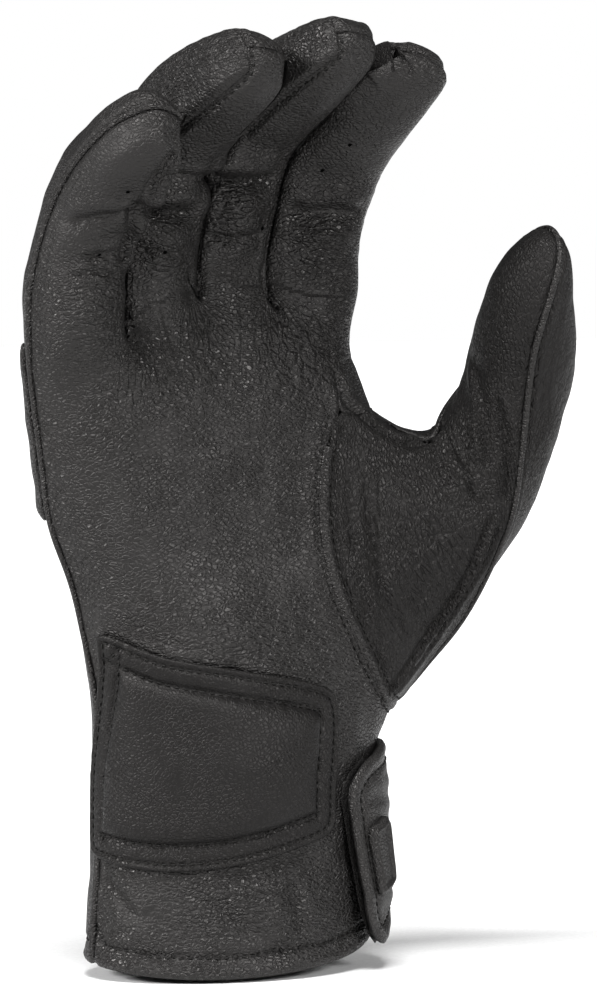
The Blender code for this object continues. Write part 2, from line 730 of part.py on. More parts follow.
def main():
    clear_scene()
    glove = bpy.data.collections.new("motorcycle_glove")
    helpers = bpy.data.collections.new("helpers")
    bpy.context.scene.collection.children.link(glove)
    bpy.context.scene.collection.children.link(helpers)
    leather = leather_material("black_leather")
    holder = helper_object("glove_surface", build_cage(), helpers)
    subdivision = holder.modifiers.new("smooth", "SUBSURF")
    subdivision.levels = subdivision.render_levels = SUBDIVISIONS
    bpy.context.view_layer.update()
    surface = Surface(holder)
    for number, name in enumerate(PANELS):
        part_object(name, panel_solid(surface, number), glove, leather)
    laid = (heel_patch, heel_cushion, edge_guard, wrist_strap, strap_badge, pinky_welt, thumb_welt)
    for make in laid:
        part_object(make.__name__, make(surface), glove, leather)
    tape = leather_material("black_loop_tape", TAPE_COLOUR, 0.9)
    part_object("loop_patch", loop_patch(surface), glove, tape)


main()
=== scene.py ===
"""The looks of a black leather motorcycle glove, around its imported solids.

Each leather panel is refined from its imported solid, gets the folds, wrinkles and seam grooves that the
photograph shows, and is edged with the leather's thickness. Stitches, band and piping are shapes on them.
Lengths are metres. Places in the photograph are pixels of its frame, 597 wide and 1000 high.
"""

import math
from collections import namedtuple

import bmesh
import bpy
import numpy as np
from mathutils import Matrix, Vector
from mathutils.bvhtree import BVHTree
from mathutils.kdtree import KDTree


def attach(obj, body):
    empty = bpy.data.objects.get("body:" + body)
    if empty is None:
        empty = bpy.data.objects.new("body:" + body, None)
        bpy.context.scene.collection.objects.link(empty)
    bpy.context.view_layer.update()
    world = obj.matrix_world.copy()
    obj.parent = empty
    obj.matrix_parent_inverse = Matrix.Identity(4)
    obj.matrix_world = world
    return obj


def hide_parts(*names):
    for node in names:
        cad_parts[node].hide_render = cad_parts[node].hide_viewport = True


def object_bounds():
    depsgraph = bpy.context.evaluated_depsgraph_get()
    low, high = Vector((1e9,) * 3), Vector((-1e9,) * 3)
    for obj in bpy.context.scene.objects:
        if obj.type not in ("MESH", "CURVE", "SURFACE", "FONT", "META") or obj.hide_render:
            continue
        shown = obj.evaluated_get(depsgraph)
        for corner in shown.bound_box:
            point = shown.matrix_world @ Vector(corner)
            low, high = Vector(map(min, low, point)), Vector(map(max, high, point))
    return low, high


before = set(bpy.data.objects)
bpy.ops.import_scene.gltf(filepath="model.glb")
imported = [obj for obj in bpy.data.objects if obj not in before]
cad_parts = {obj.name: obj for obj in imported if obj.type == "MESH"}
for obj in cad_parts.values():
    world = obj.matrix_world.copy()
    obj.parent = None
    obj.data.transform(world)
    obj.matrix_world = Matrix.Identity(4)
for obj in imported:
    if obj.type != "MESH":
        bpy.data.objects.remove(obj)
cad_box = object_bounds()

# Camera, as the photograph was taken
PHOTO_WIDTH, PHOTO_HEIGHT = 597, 1000
AZIMUTH, ELEVATION = -30.0, 3.0
DISTANCE = 1.5
TARGET = np.array([0.0214, 0.0, 0.1210])
PIXEL = 0.27e-3
SENSOR = 24.0

# Panels of leather, and how often each is subdivided
PANELS = {
    "palm_panel": 3, "back_panel": 3,
    "gusset_pinky_ring": 3, "gusset_ring_middle": 3, "gusset_middle_index": 3,
    "thumb_front_panel": 4, "thumb_back_panel": 4,
}
PATCH_LEVELS, LINING_LEVELS, LOOP_LEVELS = 4, 1, 2

# Refining: how close points are one, and the angles up to which triangles join and faces are one side
WELD = 2e-6
JOIN_FACES, JOIN_SHAPE, SHARP = math.radians(40), math.radians(70), math.radians(50)

# Thickness of the leather, and of the two pieces that differ
LEATHER, PAD_THICKNESS, STRAP_THICKNESS = 0.0016, 0.0015, 0.0026

# Open edges: turned down, going in by shares of the bow and of the thickness, with a puckered roll beside.
# Waves and wrinkles grow to their full height inland.
EDGE_WIDTH, EDGE_DROP, EDGE_BOW = 0.0011, 0.00060, 0.00035
EDGE_PROFILE = ((0.8, 0.25), (1.0, 0.6), (0.7, 1.0))
EDGE_SMOOTHING = 4
ROLL_IN, ROLL_WIDTH, ROLL_HEIGHT = 0.0019, 0.0011, 0.00038
ROLL_PUCKER, ROLL_PUCKER_SIZE, ROLL_SEED = 0.45, 0.0017, 17
INLAND, INLAND_LEAST = 0.006, 0.15
# Part of the photograph where the leather runs on over its seams, and the share of the edge left there
SMOOTH_LEFT, SMOOTH_TOP, SMOOTH_RIGHT, SMOOTH_BOTTOM = 318, 340, 395, 432
SMOOTH_SHARE = 0.1

# Seams: how far apart two edges may lie to be drawn together, in general and at the hem, how far into the
# leather that pulls, how often it is done, and how close two edges lie that are sewn to each other
SEAM_REACH, HEM_REACH, SEAM_SPREAD = 0.0060, 0.0012, 0.0070
SEAM_PASSES, SEAM_SMOOTHING = 5, 3
SEWN = 0.0013
SEAM_TRIM, SEAM_LINE_SMOOTHING, SEAM_UPS_SMOOTHING = 5, 8, 12

# Slits between fingers: their middles at heights up from the hem, and how far each is drawn closed there
Slit = namedtuple("Slit", "heights middles closed")
SLITS = [Slit(*row) for row in (
    # little and ring finger
    ((0.150, 0.158, 0.193, 0.207), (-0.0376, -0.0375, -0.0363, -0.0340), (0, 1, 1, 0.4)),
    # ring and middle finger
    ((0.150, 0.174, 0.187, 0.208), (-0.0140, -0.0139, -0.0134, -0.0118), (0, 0.3, 1, 1)),
    # middle and index finger
    ((0.152, 0.177, 0.198, 0.222), (0.0093, 0.0095, 0.0113, 0.0135), (0, 0.4, 1, 0.7)),
)]
SLIT_SPREAD, SLIT_MOST, SLIT_FADE, SLIT_SHARE = 0.0100, 0.0048, 0.012, 0.95
SLIT_STEPS, SLIT_BAND, SLIT_REACH, SLIT_SMOOTHING = 24, 0.002, 0.008, 4

# Heel pad: distance in from its edge to its stitch rows and its foam, how the foam rises, and its puckers
PAD_ROWS = (0.0019, 0.0068)
PAD_FOAM, PAD_RISE, PAD_HEIGHT = 0.0072, 0.0020, 0.0026
PAD_CROWN, PAD_CROWN_WIDTH = 0.0012, 0.018
PAD_PUCKER, PAD_PUCKER_WIDTH, PAD_BORDER_PUCKER = 0.00016, 0.0030, 0.6
PAD_PUCKER_SIZE, PAD_SEED = 0.0019, 23
PAD_WAVES, PAD_WRINKLES, PAD_FILL = 0.5, 0.25, 0.7

# Stitches: a thread's size, its rise and dip as shares of its radius, and the groove that it lies in
STITCH_PITCH, STITCH_LENGTH, STITCH_RADIUS = 0.0024, 0.0018, 0.00027
STITCH_RISE, STITCH_DIP, STITCH_END = 0.75, 1.9, 0.08
STITCH_RINGS, STITCH_SIDES, STITCH_AHEAD, STITCH_SMOOTHING = 6, 6, 2e-4, 6
GROOVE_WIDTH, GROOVE_DEPTH, PATCH_GROOVE, GROOVE_REACH = 0.0009, 0.00080, 0.0006, 4
# Stitch rows: distance in from the seam, where the fingertips' rows start, and the hem's row
SEAM_ROW, ROW_SMOOTHING = 0.0013, 12
TIP_STRIPS = ("gusset_pinky_ring", "gusset_ring_middle")
FINGER_ROW, TIP_ROW_FROM, TIP_ROW_POINTS = 0.0011, 0.219, 8
HEM_ROW, HEM_TOP, HEM_LEVEL, HEM_TRIM, HEM_SMOOTHING = 0.0060, 0.008, 0.5, 9, 6

# Broad waves of the leather: size across and height
WAVES = ((0.026, 0.00085), (0.011, 0.00042), (0.0055, 0.00020), (0.0030, 0.00008))

# A fold across: height of each part as a share of its depth, and place, down positive, and width in widths
FOLD_PARTS = ((0.75, -1.5, 1.0), (0.45, 2.0, 1.1), (-1.0, 0.1, 0.62))
FOLD_REACH, FOLD_FADE, FOLD_END = 5, 6, 0.25

# Fine wrinkles as ridges of the mesh: size across and along, sharpness and height
RIDGE_ACROSS, RIDGE_ALONG, RIDGE_SHARPNESS = 0.0021, 0.0080, 2.2
RIDGE_HEIGHT, RIDGE_LOW, RIDGE_SEED = 0.00042, -0.4, 31
# How fields fade outwards, how wide a fan's wrinkles lie, and how far the leather must face the camera
FIELD_FADE, CALM_FADE, FAN_WIDTH = 1.2, 1.5, 55
FACING_FROM, FACING_SPAN, BULGE_SPAN = 0.05, 0.3, 0.4

# Pixels between the places where a line of the photograph is traced
TRACE_STEP = 3.0

# Folds that the photograph shows: pixels along each, width and depth; a negative depth stands out
Fold = namedtuple("Fold", "points width depth")
FOLDS = [Fold(*row) for row in (
    # middle finger
    (((200, 177), (221, 180), (245, 181), (274, 178)), 0.0032, 0.0028),
    (((206, 235), (224, 237), (236, 237), (259, 234)), 0.0017, 0.0013),
    # ring finger
    (((127, 211), (147, 210), (167, 213), (194, 211)), 0.0032, 0.0028),
    (((155, 180), (180, 172), (203, 174)), 0.0018, 0.0007),
    # little finger
    (((70, 222), (90, 218), (107, 215), (129, 213)), 0.0024, 0.0010),
    (((80, 257), (105, 253), (121, 251)), 0.0013, 0.0007),
    (((70, 276), (90, 273), (116, 272)), 0.0012, 0.0005),
    # index finger
    (((284, 206), (310, 213), (330, 211), (362, 214)), 0.0032, 0.0018),
    (((284, 242), (310, 246), (340, 243)), 0.0014, 0.0007),
    # seam ridge down the outside of the thumb's root
    (((499, 515), (474, 569), (449, 611), (414, 663), (388, 698)), 0.0011, -0.0010),
    (((506, 512), (482, 566), (457, 608), (423, 660), (394, 696)), 0.0009, 0.0006),
    # web between palm and thumb
    (
        ((334, 372), (347, 402), (362, 415), (382, 430), (404, 443), (424, 443), (445, 425)),
        0.0016, 0.0012
    ),
    (((429, 440), (439, 460), (449, 490)), 0.0013, 0.0005),
    (((449, 449), (464, 470), (474, 504)), 0.0013, 0.0006),
    (((471, 361), (474, 400), (479, 470)), 0.0020, -0.0008),
    (((496, 395), (504, 430), (508, 460), (505, 500)), 0.0016, 0.0008),
    (((367, 479), (371, 529), (375, 569), (387, 604), (409, 641)), 0.0018, 0.0006),
    (((352, 470), (351, 520), (357, 570), (372, 630)), 0.0015, 0.0004),
    # above the heel pad
    (((104, 632), (151, 655), (187, 665), (241, 674), (294, 681), (330, 687)), 0.0012, 0.0008),
    (((120, 618), (160, 640), (200, 650)), 0.0018, 0.0004),
    # cuff
    (((180, 891), (219, 903), (254, 931), (269, 941)), 0.0024, 0.0007),
    (((105, 874), (125, 903), (137, 921)), 0.0022, 0.0008),
    (((289, 879), (296, 903), (304, 933)), 0.0030, 0.0009),
    (((187, 884), (254, 876), (304, 855)), 0.0022, 0.0006),
)]

# Fields of fine wrinkles: centre and radii in pixels, and either the way they run, in degrees from level and
# downwards to the right, or a point that they fan out from
Wrinkles = namedtuple("Wrinkles", "x y radius_x radius_y turn fan strength")
WRINKLES = [Wrinkles(*row) for row in (
    (150, 370, 45, 50, 0, (138, 330), 0.9),
    (200, 345, 40, 50, 0, (190, 292), 1.0),
    (300, 345, 60, 55, 0, (264, 285), 1.0),
    (95, 290, 45, 60, 0, None, 0.7),
    (158, 245, 32, 45, 8, None, 0.9),
    (232, 215, 40, 42, 0, None, 0.9),
    (318, 255, 45, 50, 12, None, 0.8),
    (250, 640, 90, 40, 6, None, 0.6),
    (430, 560, 70, 110, 58, None, 0.8),
    (358, 560, 26, 110, 78, None, 0.8),
    (545, 400, 30, 130, 108, None, 0.7),
    (460, 470, 30, 50, 65, None, 0.9),
    (225, 900, 120, 45, 10, None, 0.8),
    (225, 50, 60, 30, -25, None, 0.6),
)]

# Parts of the leather that are pulled smooth: centre and radii in pixels, and how much of the grain goes
Smooth = namedtuple("Smooth", "x y radius_x radius_y amount")
SMOOTHS = [Smooth(*row) for row in (
    (112, 155, 50, 55, 0.75), (60, 220, 34, 60, 0.6), (245, 85, 40, 38, 0.6),
    (340, 75, 36, 36, 0.45), (408, 90, 40, 50, 0.4), (535, 280, 40, 50, 0.4),
    (560, 380, 26, 110, 0.4), (150, 905, 44, 26, 0.6), (200, 560, 90, 60, 0.25),
)]

# Rounded parts of the stuffed fingers: centre and radii in pixels, and how far they stand out
Bulge = namedtuple("Bulge", "x y radius_x radius_y height")
BULGES = [Bulge(*row) for row in (
    (160, 246, 24, 30, 0.0034), (236, 214, 25, 27, 0.0034), (160, 305, 20, 24, 0.0012),
    (88, 242, 34, 18, 0.0012), (90, 302, 32, 32, 0.0012), (318, 240, 30, 24, 0.0014),
    (112, 152, 36, 40, 0.0012), (240, 100, 34, 30, 0.0012), (330, 95, 34, 30, 0.0012),
    (170, 190, 22, 14, 0.0012), (238, 160, 24, 14, 0.0012), (232, 255, 20, 18, 0.0010),
    (235, 640, 110, 60, 0.0030),
)]

# Deep creases where one finger lies against the next, given like folds
CREASES = [Fold(*row) for row in (
    (((172, 158), (154, 182), (138, 205), (130, 228), (127, 258)), 0.0020, 0.0030),
    (((129, 300), (131, 325), (135, 345)), 0.0010, 0.0006),
    (((190, 270), (189, 285), (191, 303)), 0.0010, 0.0012),
    (((263, 268), (263, 280), (268, 296)), 0.0010, 0.0012),
)]

# Where the stuffed leather stands out of, or in from, the panels: a place, how far it is drawn to the right
# and down, and how wide the pull is, in pixels
Tug = namedtuple("Tug", "x y right down radius")
TUGS = [Tug(*row) for row in (
    (24, 350, -4, 0, 44), (27, 290, -10, 0, 44), (36, 240, -10, -1, 44), (50, 190, -10, -5, 44),
    (75, 150, -12, -10, 44), (105, 120, -11, -12, 44), (150, 82, -11, -14, 36),
    (178, 62, -7, -12, 36), (225, 42, -3, -7, 40), (186, 138, -9, 0, 20),
    (30, 440, 2, 0, 50), (50, 525, -3, 1, 34), (66, 590, 3, 0, 40), (90, 770, -4, 0, 60),
    (88, 920, -3, 0, 60),
    (446, 78, 6, 3, 34), (372, 190, 3, 2, 34), (350, 290, 5, 0, 44), (356, 372, 10, 5, 30),
    (565, 245, 3, -2, 36), (576, 320, 1, 0, 44), (566, 395, 4, 2, 44), (548, 450, 8, 4, 46),
    (524, 510, 9, 6, 46), (490, 570, -1, 0, 46), (440, 640, 3, 3, 46), (402, 688, 6, 6, 34),
    (392, 800, 3, 0, 44), (396, 880, 2, 0, 44),
)]
STRAP_TUGS = [Tug(*row) for row in (
    (340, 795, -5, -1, 20), (348, 750, 3, 2, 16), (376, 944, 1, 3, 18), (394, 920, -5, -1, 20),
    (388, 742, -4, 4, 18),
)]

# Vent holes, each drawn as a black dish of painted shade for the shade inside it, with a dent round it
HOLES = ((128, 192), (178, 206), (165, 252), (99, 254), (262, 228), (350, 145), (322, 170))
HOLE_RADIUS, HOLE_SIDES, HOLE_LIFT, HOLE_RIM_LIFT = 0.0006, 12, 0.00006, 0.00012
HOLE_DENT_WIDTH, HOLE_DENT = 0.0012, 0.0005

# Band over the seam between palm and thumb: across it from its middle, and height above the leather
BAND = (
    (-0.0016, -0.0004), (-0.0014, 0.0002), (-0.0010, 0.0005), (-0.0004, 0.0006),
    (0.0004, 0.0006), (0.0010, 0.0005), (0.0014, 0.0002), (0.0016, -0.0004),
)
BAND_ROW = 0.0024

# Piping along the outer seams of the little finger and the thumb, and how it tapers at its ends
PIPING_RADIUS, PIPING_LIFT, PIPING_SIDES = 0.00095, 0.00015, 10
PIPING_TAPER, TAPER_LEAST = 0.04, 0.02

# Wrist strap: roll round its edge, stitch row inside it, edge turned down, and ribs across it
STRAP_ROLL, STRAP_ROLL_WIDTH, STRAP_ROLL_HEIGHT, STRAP_ROW = 0.0020, 0.0014, 0.0003, 0.0046
STRAP_EDGE_WIDTH, STRAP_EDGE_DROP, STRAP_WAVES = 0.0014, 0.0009, 0.6
RIB_PITCH, RIB_HEIGHT, RIB_FROM, RIB_SPAN = 0.0062, 0.00018, 0.005, 0.003
BADGE_RIM, BADGE_RIM_WIDTH, BADGE_RIM_HEIGHT = 0.0015, 0.0007, 0.0009

# Edge guard and loop tape
GUARD_TAPER, GUARD_DROP = 0.0050, 0.0013
LOOP_CREASE, LOOP_WAVES = 0.8, 0.6

# Leather: its pebbles, what bends them, its patches and its pores, as cells in a metre, and their heights
PEBBLE_SCALE, WARP_SCALE, PATCH_SCALE, PORE_SCALE = 790.0, 330.0, 60.0, 1700.0
PEBBLE_WARP, PEBBLE_EDGE, PEBBLE_HEIGHT, PORE_HEIGHT = 0.0016, 0.26, 0.00033, 0.00007
PATCH_RANGE = (0.36, 0.62, 0.45, 1.0)
STREAKS_ACROSS, STREAKS_ALONG, STREAK_WARP, STREAK_EDGE, STREAK_HEIGHT = 560.0, 230.0, 0.5, 0.26, 0.00050
# The cracks are coloured darker than the pebbles: painted shade in the cracks
CRACK_SHADE_COLOUR, PEBBLE_COLOUR = (0.0020, 0.0018, 0.0018, 1.0), (0.0060, 0.0055, 0.0053, 1.0)
CRACK_ROUGHNESS, PEBBLE_POLISH, PATCH_ROUGHNESS = 0.22, 0.24, 0.25
LEATHER_TINT = (1.0, 0.965, 0.945, 1.0)
# The leathers: stretch and depth of the grain, roughness, shine, and whether wrinkles run over it
Leather = namedtuple("Leather", "name stretch grain roughness specular wrinkled")
LEATHERS = [Leather(*row) for row in (
    ("black_leather", (0.8, 1.0, 1.3), 1.0, 0.35, 0.36, True),
    ("black_thumb_leather", (1.4, 1.4, 0.75), 0.85, 0.38, 0.22, True),
    ("black_pad_leather", (1.2, 1.2, 1.2), 0.50, 0.38, 0.22, True),
    ("black_strap_leather", (1.2, 1.2, 1.2), 0.50, 0.38, 0.40, False),
    ("leather_inside", (1.2, 1.2, 1.2), 0.60, 0.50, 0.30, False),
)]

# Lights: azimuth and elevation that each comes from, how wide it is in degrees, and its strength
SUNS = (
    ("left", -88.0, 25.0, 16.0, 4.6),
    ("right", 18.0, 25.0, 16.0, 2.4),
    ("top", -30.0, 66.0, 24.0, 4.0),
)
# Backdrop: where its white starts and is full, as cosines of the angle from straight behind, and strengths
WORLD_RANGE = (0.975, 0.990, 0.14, 1.0)
FLOOR_COLOUR, FLOOR_ROUGHNESS, FLOOR_SHINE = (0.8, 0.8, 0.8), 0.9, 0.3
FLOOR_REACH, FLOOR_GAP = 6.0, 0.001

# Noise: factors that mix a cell's three numbers and the seed
HASH_CELL, HASH_SEED, HASH_MIXER = np.array([374761393, 668265263, 2147483647]), 974634777, 1274126177
TINY = 1e-12

# A row of stitches on a skin
Row = namedtuple("Row", "skin path closed")


# Camera

def way_to(azimuth, elevation):
    """The way out to an azimuth and elevation in degrees; at azimuth 0 it is -Y."""
    turn, tilt = math.radians(azimuth), math.radians(elevation)
    return np.array([math.sin(turn) * math.cos(tilt), -math.cos(turn) * math.cos(tilt), math.sin(tilt)])


BACK = way_to(AZIMUTH, ELEVATION)
RIGHT = np.array([math.cos(math.radians(AZIMUTH)), math.sin(math.radians(AZIMUTH)), 0.0])
UP = np.cross(BACK, RIGHT)
EYE = TARGET + BACK * DISTANCE


def linked(name, data):
    made = bpy.data.objects.new(name, data)
    bpy.context.scene.collection.objects.link(made)
    return made


def add_camera():
    data = bpy.data.cameras.new("camera")
    data.sensor_fit = "VERTICAL"
    data.sensor_height = SENSOR
    data.lens = SENSOR * DISTANCE / (PHOTO_HEIGHT * PIXEL)
    camera = linked("camera", data)
    camera.location = EYE
    camera.rotation_euler = Vector(-BACK).to_track_quat("-Z", "Y").to_euler()
    bpy.context.scene.camera = camera


def photo_place(points):
    """Where points show in the photograph's frame, in pixels."""
    away = points - EYE
    scale = DISTANCE / PIXEL / -(away @ BACK)
    return PHOTO_WIDTH / 2 + away @ RIGHT * scale, PHOTO_HEIGHT / 2 - away @ UP * scale


def photo_hit(skins, x, y):
    """The place and normal of what shows at a pixel of the photograph, or nothing."""
    way = -BACK + (RIGHT * (x - PHOTO_WIDTH / 2) - UP * (y - PHOTO_HEIGHT / 2)) * PIXEL / DISTANCE
    start, way = Vector(EYE), Vector(way / np.linalg.norm(way))
    hits = [hit for hit in (skin.tree.ray_cast(start, way) for skin in skins) if hit[0] is not None]
    return min(hits, key=lambda hit: hit[3])[:2] if hits else None


# Numbers

def hashed(cells, seed):
    """A repeatable number between -1 and 1 for each whole-numbered cell."""
    mixed = (cells * HASH_CELL).sum(axis=1) + seed * HASH_SEED
    mixed = (mixed ^ (mixed >> 13)) * HASH_MIXER
    mixed = mixed ^ (mixed >> 16)
    return (mixed & 0xFFFFFF).astype(float) / 0x7FFFFF - 1.0


def noise(points, seed):
    """Smooth noise between -1 and 1 at points given in cells."""
    base = np.floor(points).astype(np.int64)
    share = points - base
    share = share * share * (3 - 2 * share)
    total = np.zeros(len(points))
    for corner in np.ndindex(2, 2, 2):
        weight = np.prod(np.where(np.array(corner), share, 1 - share), axis=1)
        total += weight * hashed(base + np.array(corner), seed)
    return total


def hill(value, middle, width):
    """1 at the middle, falling off smoothly over the width on both sides."""
    return np.exp(-((value - middle) / width) ** 2)


def falling(distance, reach):
    """1 at no distance and 0 from the reach on, levelling out towards it."""
    return np.clip(1 - distance / reach, 0, 1) ** 2


def unit(ways):
    return ways / np.maximum(np.linalg.norm(ways, axis=-1, keepdims=True), TINY)


def smoothed(path, times, closed=False):
    path = path.copy()
    for _ in range(times):
        new = (np.roll(path, 1, axis=0) + 2 * path + np.roll(path, -1, axis=0)) / 4
        if not closed:
            new[0], new[-1] = path[0], path[-1]
        path = new
    return path


def run_lengths(path):
    """How far along a path each of its points lies."""
    return np.concatenate([[0], np.cumsum(np.linalg.norm(np.diff(path, axis=0), axis=1))])


def closest(points, places):
    """For each point, the number of the closest place and its distance."""
    tree = KDTree(len(places))
    for number, place in enumerate(places):
        tree.insert(place, number)
    tree.balance()
    found = [tree.find(point)[1:] for point in points]
    return np.array([number for number, _ in found], int), np.array([gap for _, gap in found])


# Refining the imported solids

def welded(node):
    """The node's solid with its points joined and its triangles made into quads."""
    mesh = bmesh.new()
    mesh.from_mesh(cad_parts[node].data)
    bmesh.ops.remove_doubles(mesh, verts=mesh.verts, dist=WELD)
    bmesh.ops.join_triangles(
        mesh, faces=mesh.faces, angle_face_threshold=JOIN_FACES, angle_shape_threshold=JOIN_SHAPE
    )
    mesh.normal_update()
    mesh.verts.index_update()
    return mesh


def sides(mesh):
    """The two faces of a leather sheet, as lists of mesh faces, the outer one first."""
    left, found = set(mesh.faces), []
    while left:
        start = left.pop()
        group, edge_of = [start], [start]
        while edge_of:
            for edge in edge_of.pop().edges:
                if len(edge.link_faces) == 2 and edge.calc_face_angle(0.0) < SHARP:
                    for other in edge.link_faces:
                        if other in left:
                            left.discard(other)
                            group.append(other)
                            edge_of.append(other)
        found.append(group)
    found.sort(key=lambda group: -sum(face.calc_area() for face in group))
    return found[0], found[1]


def face_arrays(faces):
    """Points and corner numbers of some of a mesh's faces."""
    verts = sorted({v for face in faces for v in face.verts}, key=lambda v: v.index)
    number = {v: k for k, v in enumerate(verts)}
    return [tuple(v.co) for v in verts], [[number[v] for v in face.verts] for face in faces]


def subdivided(points, faces, levels, creases=None):
    """Points and quads of a mesh after subdivision."""
    data = bpy.data.meshes.new("refined")
    data.from_pydata(points, [], faces)
    holder = linked("refined", data)
    if creases:
        layer = data.attributes.new("crease_edge", "FLOAT", "EDGE")
        for number, edge in enumerate(data.edges):
            layer.data[number].value = creases.get(frozenset(edge.vertices), 0.0)
    modifier = holder.modifiers.new("subdivision", "SUBSURF")
    modifier.levels = modifier.render_levels = levels
    evaluated = holder.evaluated_get(bpy.context.evaluated_depsgraph_get())
    made = evaluated.to_mesh()
    places = np.empty(len(made.vertices) * 3, np.float32)
    made.vertices.foreach_get("co", places)
    corners = np.empty(len(made.loops), np.int32)
    made.loops.foreach_get("vertex_index", corners)
    evaluated.to_mesh_clear()
    bpy.data.objects.remove(holder)
    bpy.data.meshes.remove(data)
    return places.reshape(-1, 3).astype(float), corners.reshape(-1, 4)


def point_normals(points, faces):
    a, b, c, d = (points[faces[:, k]] for k in range(4))
    across = np.cross(c - a, d - b)
    total = np.zeros_like(points)
    for k in range(4):
        np.add.at(total, faces[:, k], across)
    return unit(total)


def loops_of(faces):
    """The open edges of a quad mesh, as ordered loops of point numbers."""
    ends = np.concatenate([faces[:, [k, (k + 1) % 4]] for k in range(4)])
    keys = np.sort(ends, axis=1)
    _, index, count = np.unique(keys, axis=0, return_inverse=True, return_counts=True)
    onward = {int(a): int(b) for a, b in ends[count[index.reshape(-1)] == 1]}
    loops = []
    while onward:
        start = next(iter(onward))
        loop = [start]
        while onward.get(loop[-1]) is not None:
            following = onward.pop(loop[-1])
            if following == start:
                break
            loop.append(following)
        loops.append(np.array(loop))
    return loops


class Skin:
    """A piece's outer side: points, quads, normals, open edges, distances from them, and wrinkles."""

    def __init__(self, node, levels=PATCH_LEVELS):
        mesh = welded(node)
        outer, inner = sides(mesh)
        self.node = node
        self.points, self.faces = subdivided(*face_arrays(outer), levels)
        self.first = self.points.copy()
        self.inner, self.inner_faces = subdivided(*face_arrays(inner), LINING_LEVELS)
        mesh.free()
        self.refresh()
        self.loops = loops_of(self.faces)
        self.edge_distance = closest(self.points, self.edge())[1]
        self.flow = np.zeros((len(self.points), 4))

    def refresh(self):
        self.normals = point_normals(self.points, self.faces)
        self.tree = BVHTree.FromPolygons(self.points.tolist(), self.faces.tolist())

    def edge(self):
        return self.points[np.concatenate(self.loops)]

    def move(self, heights):
        self.points = self.points + self.normals * heights[:, None]
        self.refresh()

    def lining(self):
        """The inner side, moved as the outer side over it has been."""
        over, _ = closest(self.inner, self.first)
        return self.inner + (self.points - self.first)[over], self.inner_faces


# Places on the skins

def traced(skins, pixels):
    """Points of the skins under a line of the photograph."""
    pixels = np.array(pixels, float)
    lengths = run_lengths(pixels)
    along = np.linspace(0, lengths[-1], max(int(lengths[-1] / TRACE_STEP), 2) + 1)
    line = zip(*(np.interp(along, lengths, side) for side in pixels.T))
    hits = [photo_hit(skins, x, y) for x, y in line]
    return np.array([hit[0] for hit in hits if hit])


def inset(skin, loop, distance, closed):
    """The loop's points moved into the skin by a distance."""
    points = skin.points[loop]
    if closed:
        along = np.roll(points, -1, axis=0) - np.roll(points, 1, axis=0)
    else:
        along = np.gradient(points, axis=0)
    return smoothed(points + unit(np.cross(skin.normals[loop], along)) * distance, ROW_SMOOTHING, closed)


def shared_run(skin, other):
    """The longest run of a skin's open edge that lies beside another skin's."""
    best = np.array([], int)
    for loop in skin.loops:
        close = closest(skin.points[loop], other.edge())[1] < SEWN
        if close.all():
            return loop
        start = int(np.argmin(close))
        order, close = np.roll(loop, -start), np.roll(close, -start)
        breaks = np.flatnonzero(np.diff(np.concatenate([[False], close, [False]]).astype(int)))
        for first, last in zip(breaks[::2], breaks[1::2]):
            if last - first > len(best):
                best = order[first:last]
    return best


def near_line(skin, line, reach):
    """Numbers of the points in the box round a line, widened by the reach."""
    inside = (skin.points > line.min(axis=0) - reach) & (skin.points < line.max(axis=0) + reach)
    return np.flatnonzero(inside.all(axis=1))


# Seams and slits drawn closed

def tug_skins(skins, tugs):
    """Points moved in the photograph's plane by the tugs round them."""
    for skin in skins:
        x, y = photo_place(skin.points)
        total, moved = np.zeros(len(x)), np.zeros_like(skin.points)
        for tug in tugs:
            weight = np.exp(-((x - tug.x) ** 2 + (y - tug.y) ** 2) / tug.radius ** 2)
            moved += weight[:, None] * (RIGHT * tug.right - UP * tug.down) * PIXEL
            total += weight
        skin.points = skin.points + moved / np.maximum(total, 1)[:, None]
        skin.refresh()


def draw_seams(skins):
    """Each open edge moves half-way to the closest other panel's edge, and the leather beside it follows."""
    edges = {node: skin.edge() for node, skin in skins.items()}
    for node, skin in skins.items():
        others = np.concatenate([edge for other, edge in edges.items() if other != node])
        shifts = []
        for loop in skin.loops:
            number, gap = closest(skin.points[loop], others)
            pull = (others[number] - skin.points[loop]) / 2
            reach = np.where(skin.points[loop][:, 2] < HEM_ROW / 2, HEM_REACH, SEAM_REACH)
            shifts.append(smoothed(np.where((gap < reach)[:, None], pull, 0), SEAM_SMOOTHING, True))
        number, gap = closest(skin.points, edges[node])
        skin.points = skin.points + np.concatenate(shifts)[number] * falling(gap, SEAM_SPREAD)[:, None]
    for skin in skins.values():
        skin.refresh()


def close_slits(skins):
    """The sides of neighbouring fingers swell towards each other."""
    edges = skins["palm_panel"].edge()
    for slit in SLITS:
        off = np.abs(edges[:, 0] - np.interp(edges[:, 2], slit.heights, slit.middles))
        steps = np.linspace(slit.heights[0], slit.heights[-1], SLIT_STEPS)
        half = []
        for height in steps:
            beside = (np.abs(edges[:, 2] - height) < SLIT_BAND) & (off < SLIT_REACH)
            half.append(off[beside].mean() if beside.any() else 0.0)
        half = np.clip(half, 0, SLIT_MOST) * np.interp(steps, slit.heights, slit.closed)
        half = smoothed(half[:, None], SLIT_SMOOTHING)[:, 0]
        for skin in skins.values():
            x, z = skin.points[:, 0], skin.points[:, 2]
            away = x - np.interp(z, slit.heights, slit.middles)
            pull = np.interp(z, steps, half, left=0.0)
            top = np.clip((slit.heights[-1] + SLIT_FADE - z) / SLIT_FADE, 0, 1)
            share = falling(np.abs(away) - pull, SLIT_SPREAD)
            skin.points[:, 0] -= np.sign(away) * np.minimum(pull * share * top, np.abs(away) * SLIT_SHARE)
    for skin in skins.values():
        skin.refresh()


# Folds and wrinkles

